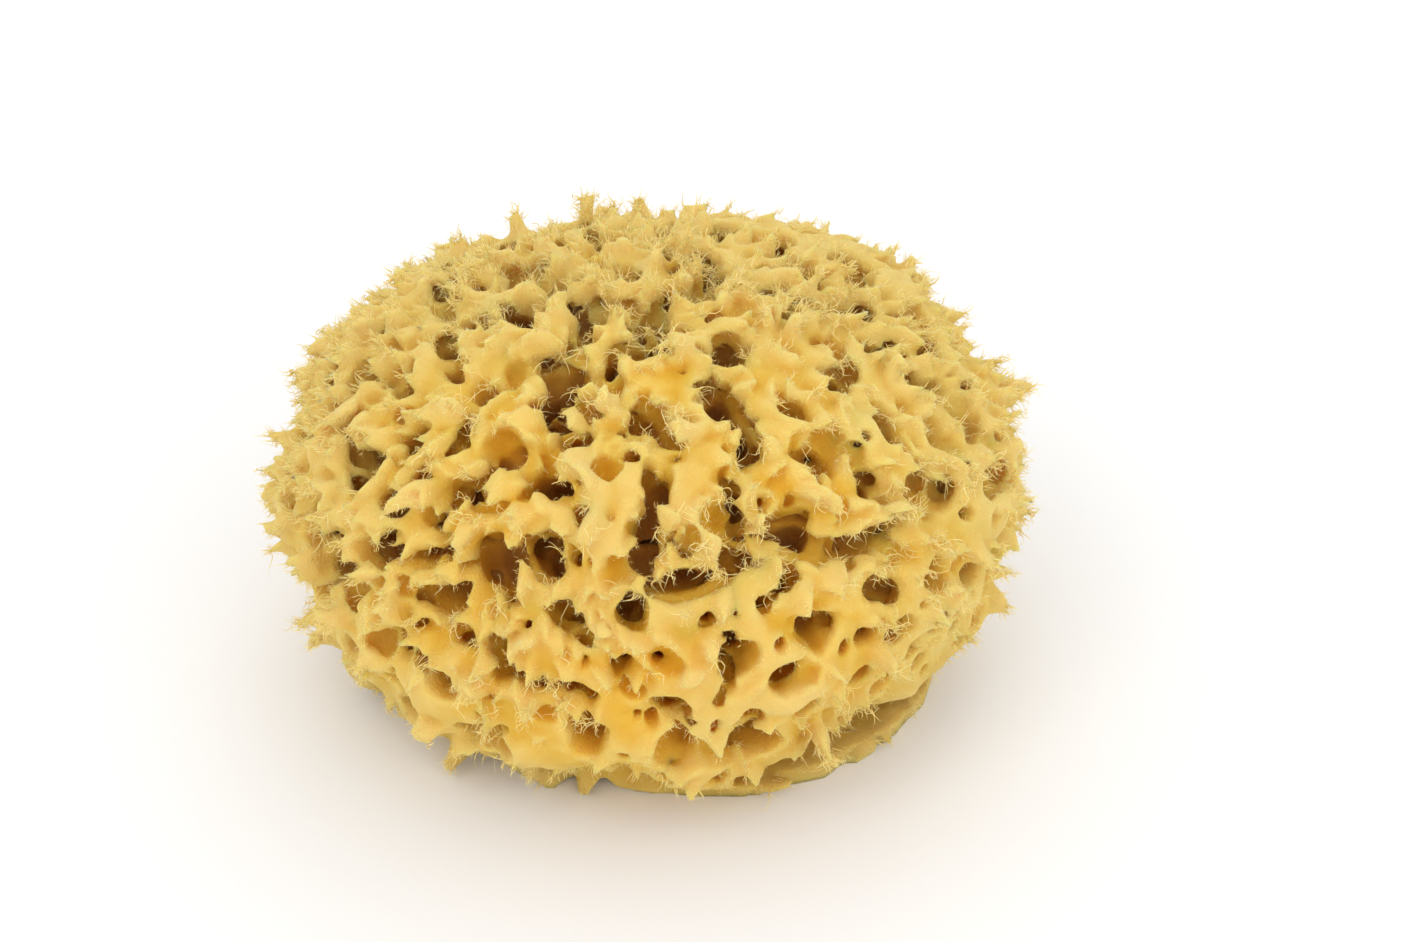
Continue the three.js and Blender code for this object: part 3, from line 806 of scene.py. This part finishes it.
# azimuth, elevation, spread and strength
AMBER_PATCHES = [
    (8, 3, 36, 0.65),
    (-30, 8, 24, 0.4),
    (-75, 10, 14, 0.3),
    (150, 20, 30, 0.4),
    (-140, 5, 28, 0.35),
]
MOST_AMBER = 0.75
RIM_LIGHT_SPREAD = (0, 22, 30, 85)  # painted rim light: azimuth, elevation, and the degrees off them where it begins and is full


def amber_at(ways):
    """How much amber is mixed in, in patches round the body."""
    total = 0
    for azimuth, elevation, spread_out, strength in AMBER_PATCHES:
        total = total + strength * np.exp(-((degrees_from(ways, azimuth, elevation) / spread_out) ** 2))
    return np.clip(total, 0, MOST_AMBER)


def paleness_at(ways):
    """How much painted rim light the sponge gets: 0 in the middle of its front, 1 from its sides round to the
    back.
    """
    azimuth, elevation, begins, full = RIM_LIGHT_SPREAD
    return ramp(degrees_from(ways, azimuth, elevation), begins, full)


NEARBY, FARTHER = 1.8, 4.5  # the reaches over which the emptiness round a vertex is measured
CLUSTER_FROM, CLUSTER_FULL = -0.05, 0.45


def describe_surface(mesh, field, height, clusters):
    """Gives each vertex what its colour and its fibres depend on, and returns the same as arrays.

    crest is how empty it is close by and open farther off; cluster says where tufts stand together.
    """
    places = vertex_places(mesh) / MM
    ahead = places + 0.6 * vertex_normals(mesh)
    measures = {
        "crest": sampled(openness(field, NEARBY), COARSE * VOXEL, places),
        "open": sampled(openness(field, FARTHER), COARSE * VOXEL, ahead),
        "height": sampled(height, VOXEL, places),
        "amber": amber_at(unit(places - CENTRE)),
        "pale": paleness_at(unit(places - CENTRE)),
        "cluster": ramp(sampled(clusters, VOXEL, places), CLUSTER_FROM, CLUSTER_FULL),
    }
    for name, values in measures.items():
        give_attribute(mesh, name, values)
    return measures


# ---- fibres


# spots drawn, strands at each, length, thickness, how curly, rings, and how far their directions scatter
Kind = namedtuple("Kind", "spots each length thickness curl rings splay")
TUFTS = Kind(600, 4, (1.5, 4.4), (0.18, 0.32), (0.3, 1.0), 4, 0.38)
SHORT_HAIR = Kind(1700, 2, (0.6, 1.7), (0.14, 0.26), (0.1, 0.6), 3, 0.5)
STREAKS = Kind(2600, 3, (1.2, 3.0), (0.15, 0.28), (0.0, 0.3), 3, 0.2)
FELT = Kind(19000, 1, (0.5, 1.5), (0.08, 0.15), (0.2, 1.0), 2, 0.8)
TUFT_GAP = 3.0
SIDES = 3
STRAND_TAPER = 0.6
STRAND_WAVES = (0.35, 1.1)  # how many waves a strand makes
STRAND_WAVINESS = 0.35
STRAND_SINK = 0.3  # how far its root lies in the body
LEAST_CLEARANCE = 0.3  # over the cut; a strand that comes lower is left out
ROOT_SCATTER = 0.35
OUTWARD_LEAN, DROOP = 0.8, 0.25  # strands lean from the normal towards the outside and down
CALM_TUFTS = 0.15  # the share of them that the calm skin has
BARE_FOOT = 1.5  # no strand grows lower than this
FAINT = 1e-9  # keeps every vertex possible, so that there are always enough to draw


def strand_mesh(name, roots, ways, lengths, thicknesses, curls, rings, rng):
    """Curly tapered strands, three-sided and pointed, each with its root closed and sunk in the body."""
    count = len(roots)
    helper = np.where(np.abs(ways[:, 2:]) < 0.8, [[0, 0, 1]], [[1, 0, 0]])
    aside = np.cross(ways, helper)
    aside /= np.linalg.norm(aside, axis=1, keepdims=True)
    across = np.cross(ways, aside)
    turn = rng.uniform(0, 2 * math.pi, (count, 1))
    aside, across = aside * np.cos(turn) + across * np.sin(turn), across * np.cos(turn) - aside * np.sin(turn)
    along = np.arange(rings + 1) / rings
    phase = rng.uniform(0, 2 * math.pi, (count, 1))
    waves = rng.uniform(*STRAND_WAVES, (count, 1))
    bend = curls[:, None] * lengths[:, None] * along**2
    swing = np.sin(2 * math.pi * waves * along + phase) - np.sin(phase)
    wave = STRAND_WAVINESS * curls[:, None] * lengths[:, None] * swing
    reach = lengths[:, None] * (along - 0.35 * curls[:, None] * along**2)
    line = (
        roots[:, None]
        + ways[:, None] * (reach[..., None] - STRAND_SINK)
        + aside[:, None] * bend[..., None]
        + across[:, None] * wave[..., None]
    )
    above = line[..., 2].min(axis=1) > LEAST_CLEARANCE
    line, aside, across, thicknesses = (part[above] for part in (line, aside, across, thicknesses))
    count = len(line)
    radius = thicknesses[:, None] / 2 * (1 - STRAND_TAPER * along[:-1])
    corner = 2 * math.pi * np.arange(SIDES) / SIDES
    spread_out = aside[:, None] * np.cos(corner)[:, None] + across[:, None] * np.sin(corner)[:, None]
    sides = line[:, :-1, None] + radius[..., None, None] * spread_out[:, None]
    points = np.concatenate([sides.reshape(count, -1, 3), line[:, -1:]], axis=1)

    pattern = [(0, 2, 1)]
    for ring in range(rings - 1):
        for side in range(SIDES):
            a, b = ring * SIDES + side, ring * SIDES + (side + 1) % SIDES
            pattern += [(a, b, b + SIDES), (a, b + SIDES, a + SIDES)]
    last = (rings - 1) * SIDES
    pattern += [(last + side, last + (side + 1) % SIDES, rings * SIDES) for side in range(SIDES)]
    faces = np.array(pattern)[None] + (np.arange(count) * (rings * SIDES + 1))[:, None, None]
    mesh = mesh_from(name, points.reshape(-1, 3) * MM, faces.reshape(-1, 3))
    mesh.shade_flat()
    share = np.concatenate([np.repeat(along[:-1], SIDES), [1.0]])
    give_attribute(mesh, "along", np.tile(share, count))
    return mesh


def add_strands(name, kind, roots, leans, material, rng):
    """One piece of strands of a kind: at each root so many that lean about the same way."""
    roots = np.repeat(roots, kind.each, axis=0)
    ways = unit(np.repeat(leans, kind.each, axis=0) + rng.normal(0, kind.splay, roots.shape))
    roots = roots + rng.normal(0, ROOT_SCATTER, roots.shape)
    count = len(roots)
    lengths = rng.uniform(*kind.length, count)
    thicknesses = rng.uniform(*kind.thickness, count)
    curls = rng.uniform(*kind.curl, count)
    mesh = strand_mesh(name, roots, ways, lengths, thicknesses, curls, kind.rings, rng)
    mesh.materials.append(material)
    settle(mesh)
    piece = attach(add_object(name, mesh), "root")


def rising(value, start, run, least=0.0):
    """From least up to 1, in step with the value from start on until it has grown by run."""
    return np.clip((value - start) / run, least, 1)


def fibre_chances(places, normals, outward, measures):
    """How likely each vertex is to carry a tuft or short hair, a streak of the rim, and felt."""
    sharp = rising(measures["crest"], 0.64, 0.16)
    high = rising(measures["height"], -5, 6)
    upper = CALM_TUFTS + (1 - CALM_TUFTS) * liveliness(outward)
    off_base = places[:, 2] > BARE_FOOT
    hanging = np.clip(0.75 - normals[:, 2], 0.15, 1)
    clustered = np.clip(measures["cluster"], 0.12, 1)
    crests = sharp**2 * high * upper * hanging * off_base * clustered + FAINT
    rim = np.sqrt(sharp) * high * measures["pale"] * off_base + FAINT
    edges = rising(measures["crest"], 0.52, 0.2, least=0.08)
    felt = rising(measures["height"], -9, 8, least=0.02) * edges * off_base
    return crests, rim, felt


def add_fibres(mesh, measures, material):
    """Tufts and short hair on the crests of the walls, streaks on the sides where the rim light is painted,
    and felt all over.
    """
    rng = np.random.default_rng(SCENE_SEED + 1)
    places = vertex_places(mesh) / MM
    normals = vertex_normals(mesh)
    outward = unit(places - CENTRE)
    leans = unit(normals + OUTWARD_LEAN * outward - [0, 0, DROOP])
    crests, rim, felt = fibre_chances(places, normals, outward, measures)
    share = 1.0

    def spots_for(kind, chance):
        count = int(share * kind.spots)
        return rng.choice(len(chance), size=count, replace=False, p=chance / chance.sum())

    def strands(name, kind, spots):
        add_strands(name, kind, places[spots], leans[spots], material, rng)

    for name in ("tufts_1", "tufts_2"):
        spots = spots_for(TUFTS, crests)
        strands(name, TUFTS, spots[apart(places[spots], TUFT_GAP)])
    for name in ("fringe_1", "fringe_2"):
        strands(name, SHORT_HAIR, spots_for(SHORT_HAIR, crests**0.6))
    strands("streaks", STREAKS, spots_for(STREAKS, rim))
    for name in ("felt_1", "felt_2"):
        strands(name, FELT, spots_for(FELT, felt))


# ---- materials


class Nodes:
    """A short way to write a material's nodes."""

    def __init__(self, name):
        self.material = bpy.data.materials.new(name)
        self.material.use_nodes = True
        self.tree = self.material.node_tree
        self.shader = self.tree.nodes["Principled BSDF"]

    def link(self, value, socket):
        if isinstance(value, bpy.types.NodeSocket):
            self.tree.links.new(value, socket)
        else:
            socket.default_value = value

    def node(self, kind, inputs=(), **settings):
        made = self.tree.nodes.new(kind)
        for name, value in settings.items():
            setattr(made, name, value)
        for key, value in dict(inputs).items():
            self.link(value, made.inputs[key])
        return made

    def shade(self, inputs):
        for name, value in inputs.items():
            self.link(value, self.shader.inputs[name])

    def maths(self, operation, *values, clamp=False):
        made = self.node("ShaderNodeMath", dict(enumerate(values)), operation=operation, use_clamp=clamp)
        return made.outputs[0]

    def attribute(self, name):
        return self.node("ShaderNodeAttribute", attribute_name=name).outputs["Fac"]

    def noise(self, scale, detail=2.0, roughness=0.5):
        place = self.node("ShaderNodeTexCoord").outputs["Object"]
        inputs = {"Vector": place, "Scale": scale, "Detail": detail, "Roughness": roughness}
        return self.node("ShaderNodeTexNoise", inputs).outputs["Fac"]

    def scaled(self, value, low, high, to_low=0.0, to_high=1.0):
        inputs = {0: value, 1: low, 2: high, 3: to_low, 4: to_high}
        return self.node("ShaderNodeMapRange", inputs, clamp=True).outputs[0]

    def ramp(self, value, stops):
        made = self.node("ShaderNodeValToRGB", {0: value})
        elements = made.color_ramp.elements
        while len(elements) < len(stops):
            elements.new(0.5)
        for element, (position, colour) in zip(elements, stops):
            element.position = position
            element.color = colour
        return made.outputs["Color"]

    def mixed(self, share, one, other):
        made = self.node("ShaderNodeMix", {"Factor": share}, data_type="RGBA")
        self.link(one, made.inputs[6])
        self.link(other, made.inputs[7])
        return made.outputs[2]


def rgb(red, green, blue):
    """A colour given as 0-255 display values, as the shader wants it."""
    parts = [c / 255 for c in (red, green, blue)]
    return (*(c / 12.92 if c <= 0.04045 else ((c + 0.055) / 1.055) ** 2.4 for c in parts), 1.0)


# colours of the painted shade: darker amber where the skin is closed in and deep, pale yellow on open crests
SPONGE_SHADE_STOPS = [
    (0.00, rgb(196, 132, 48)),
    (0.18, rgb(214, 152, 42)),
    (0.36, rgb(226, 168, 44)),
    (0.55, rgb(230, 179, 56)),
    (0.75, rgb(234, 193, 80)),
    (1.00, rgb(240, 208, 117)),
]
# painted shade deep in the canals
THROAT_SHADE_COLOUR = rgb(164, 106, 58)
# painted light on the outermost wall ends
TIP_LIGHT_COLOUR = rgb(228, 202, 132)
# painted rim light on the sides
RIM_LIGHT_COLOUR = rgb(205, 182, 114)
SHADED = rgb(186, 150, 62)
AMBER = rgb(228, 166, 34)
MOST_TIP, MOST_RIM_LIGHT, MOST_THROAT, MOST_SHADED = 0.6, 0.4, 0.65, 0.45  # the most that each is mixed in: painted light on the wall ends and the sides, painted shade in the throats and near the floor
TIP_HEIGHTS = (0.5, 5.0)  # over the smooth body, in millimetres; the throats' are under it
THROAT_HEIGHTS = (-6.0, -13.0)
SHADED_HEIGHTS = (22 * MM, 2 * MM)  # over the floor
OPEN_TONE, DEPTH_TONE, CREST_TONE, MOTTLED_TONE = 0.42, 0.34, 0.24, 0.08  # shares of the painted shade, which follows how closed in, how deep and how far from a crest the skin is, and of the random mottling
SKIN_ROUGHNESS, SKIN_SHINE = 0.85, 0.2
GLOW, GLOW_RADIUS, GLOW_REACH = 0.65, (1.0, 0.6, 0.25), 5 * MM  # light that spreads under the skin
FELT_SCALE, FELT_STRENGTH, FELT_HEIGHT = 1500.0, 0.8, 0.6 * MM


def sponge_material():
    """Yellow, with amber patches and random mottling; painted shade makes it darker amber in the closed-in
    hollows, brown in the throats and duller near the floor, and painted light makes it paler on open crests,
    on the outer wall ends and on the sides.
    """
    nodes = Nodes("sponge_fibre")
    opened = nodes.scaled(nodes.attribute("open"), 0.30, 0.72)
    crest = nodes.scaled(nodes.attribute("crest"), 0.35, 0.75)
    depth = nodes.scaled(nodes.attribute("height"), -11.0, -0.5)
    mottling = nodes.scaled(nodes.noise(260.0, 4.0, 0.6), 0.3, 0.7, -MOTTLED_TONE, MOTTLED_TONE)
    # painted shade: darker where the skin is closed in, deep under the smooth body and away from crests; the
    # mottling is random
    shade_and_mottling = nodes.maths("MULTIPLY_ADD", opened, OPEN_TONE, mottling)
    shade_and_mottling = nodes.maths("MULTIPLY_ADD", depth, DEPTH_TONE, shade_and_mottling)
    shade_and_mottling = nodes.maths("MULTIPLY_ADD", crest, CREST_TONE, shade_and_mottling, clamp=True)
    # painted light: paler where the wall ends stand out over the smooth body
    tip = nodes.scaled(nodes.attribute("height"), *TIP_HEIGHTS, 0.0, MOST_TIP)
    # painted rim light: paler from the sides round to the back
    rim_light = nodes.maths("MULTIPLY", nodes.attribute("pale"), MOST_RIM_LIGHT)
    # the amber patches are mixed in more strongly where the painted shade is darker
    amber = nodes.maths("MULTIPLY", nodes.attribute("amber"), nodes.scaled(shade_and_mottling, 0.4, 1.0, 1.0, 0.5))
    colour = nodes.mixed(amber, nodes.ramp(shade_and_mottling, SPONGE_SHADE_STOPS), AMBER)
    colour = nodes.mixed(rim_light, colour, RIM_LIGHT_COLOUR)
    colour = nodes.mixed(tip, colour, TIP_LIGHT_COLOUR)
    # painted shade: brown deep in the canals, far under the smooth body
    throat_shade = nodes.scaled(nodes.attribute("height"), *THROAT_HEIGHTS, 0.0, MOST_THROAT)
    colour = nodes.mixed(throat_shade, colour, THROAT_SHADE_COLOUR)
    place = nodes.node("ShaderNodeTexCoord").outputs["Object"]
    low = nodes.node("ShaderNodeSeparateXYZ", {0: place}).outputs["Z"]
    colour = nodes.mixed(nodes.scaled(low, *SHADED_HEIGHTS, 0.0, MOST_SHADED), colour, SHADED)
    felt = {"Height": nodes.noise(FELT_SCALE, 4.0, 0.7), "Strength": FELT_STRENGTH, "Distance": FELT_HEIGHT}
    nodes.shade({
        "Base Color": colour,
        "Roughness": SKIN_ROUGHNESS,
        "Specular IOR Level": SKIN_SHINE,
        "Subsurface Weight": GLOW,
        "Subsurface Radius": GLOW_RADIUS,
        "Subsurface Scale": GLOW_REACH,
        "Normal": nodes.node("ShaderNodeBump", felt).outputs["Normal"],
    })
    return nodes.material


STRAND_STOPS = [
    (0.0, rgb(243, 222, 138)),
    (0.5, rgb(252, 239, 170)),
    (1.0, rgb(254, 248, 204)),
]
STRAND_ROUGHNESS, STRAND_SHINE = 0.7, 0.25
STRAND_THROUGH = 0.4  # the share of the light that a strand lets through


def fibre_material():
    """Thin pale strands that let some of the light through."""
    nodes = Nodes("sponge_fibre_ends")
    colour = nodes.ramp(nodes.attribute("along"), STRAND_STOPS)
    nodes.shade({"Base Color": colour, "Roughness": STRAND_ROUGHNESS, "Specular IOR Level": STRAND_SHINE})
    through = nodes.node("ShaderNodeBsdfTranslucent", {"Color": colour}).outputs[0]
    inputs = {0: STRAND_THROUGH, 1: nodes.shader.outputs[0], 2: through}
    mixed = nodes.node("ShaderNodeMixShader", inputs).outputs[0]
    nodes.link(mixed, nodes.tree.nodes["Material Output"].inputs["Surface"])
    return nodes.material


# ---- the stage


CAMERA_ELEVATION = math.radians(35)
CAMERA_DISTANCE = 650 * MM
CAMERA_LENS, CAMERA_SENSOR = 85.0, 36.0
CAMERA_SIDESTEP = 11.6 * MM
CAMERA_LIFT = 2.5 * MM


def set_camera():
    """The photo's view: from the front and above, with the sponge a little left of the middle."""
    data = bpy.data.cameras.new("camera")
    data.lens = CAMERA_LENS
    data.sensor_width = CAMERA_SENSOR
    camera = add_object("camera", data)
    forward = Vector((0, math.cos(CAMERA_ELEVATION), -math.sin(CAMERA_ELEVATION)))
    upward = Vector((0, math.sin(CAMERA_ELEVATION), math.cos(CAMERA_ELEVATION)))
    middle = Vector((0, 0, GIRTH_HEIGHT * MM))
    back_off = middle - CAMERA_DISTANCE * forward
    camera.location = back_off + CAMERA_LIFT * upward + Vector((CAMERA_SIDESTEP, 0, 0))
    camera.rotation_euler = (math.pi / 2 - CAMERA_ELEVATION, 0, 0)
    bpy.context.scene.camera = camera


FLOOR_REACH = 3  # metres from the middle to each side
FLOOR_COLOUR = (0.9, 0.9, 0.9, 1)
FLOOR_ROUGHNESS = 0.9


def set_floor():
    """The pale ground of the photo, as a wide stage that isn't part of the sponge."""
    nodes = Nodes("floor")
    nodes.shade({"Base Color": FLOOR_COLOUR, "Roughness": FLOOR_ROUGHNESS})
    corners = FLOOR_REACH * np.array([(-1, -1, 0), (1, -1, 0), (1, 1, 0), (-1, 1, 0)])
    mesh = mesh_from("floor", corners, np.array([[0, 1, 2, 3]]))
    mesh.materials.append(nodes.material)
    add_object("floor", mesh)


# place in metres, size in metres and power in watts
LIGHTS = {
    "key": ((-0.35, -0.6, 0.85), 0.6, 1.95),
    "fill": ((0.5, -0.85, 0.5), 0.8, 1.9),
    "back": ((0.1, 0.7, 0.7), 0.7, 1.0),
}
WORLD_STRENGTH = 0.98


def add_light(name, place, aim, size, power):
    data = bpy.data.lights.new(name, "AREA")
    data.size = size
    data.energy = power
    lamp = add_object(name, data)
    lamp.location = place
    lamp.rotation_euler = (Vector(aim) - Vector(place)).to_track_quat("-Z", "Y").to_euler()


def set_lights():
    """Three soft lights aimed at the middle of the sponge, in an even white surrounding."""
    aim = (0, 0, GIRTH_HEIGHT * MM)
    for name, (place, size, power) in LIGHTS.items():
        add_light(name, place, aim, size, power)
    world = bpy.data.worlds.new("world")
    bpy.context.scene.world = world
    world.use_nodes = True
    background = world.node_tree.nodes["Background"]
    background.inputs["Color"].default_value = (1, 1, 1, 1)
    background.inputs["Strength"].default_value = WORLD_STRENGTH
    bpy.context.scene.view_settings.view_transform = "Standard"


# ---- the scene


def settle(mesh):
    """From the place where a mesh is grown to where the CAD's body stands, and no lower than its cut."""
    places = (vertex_places(mesh) / MM - GROWN_MIDDLE) * GROWN_SCALE
    places[:, 2] = np.maximum(places[:, 2], 0)
    mesh.vertices.foreach_set("co", (places * MM).astype(np.float32).ravel())
    mesh.update()


def build_sponge():
    """The body and its fibres, placed in the frame: one grown piece that stands for the CAD's solid."""
    field, height, clusters = sponge_field()
    mesh = body_mesh(field)
    measures = describe_surface(mesh, field, height, clusters)
    mesh.materials.append(sponge_material())
    add_fibres(mesh, measures, fibre_material())
    settle(mesh)
    body = add_object("sponge_body", mesh)
    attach(body, "root")
    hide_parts("sponge")


build_sponge()
set_camera()
set_floor()
set_lights()
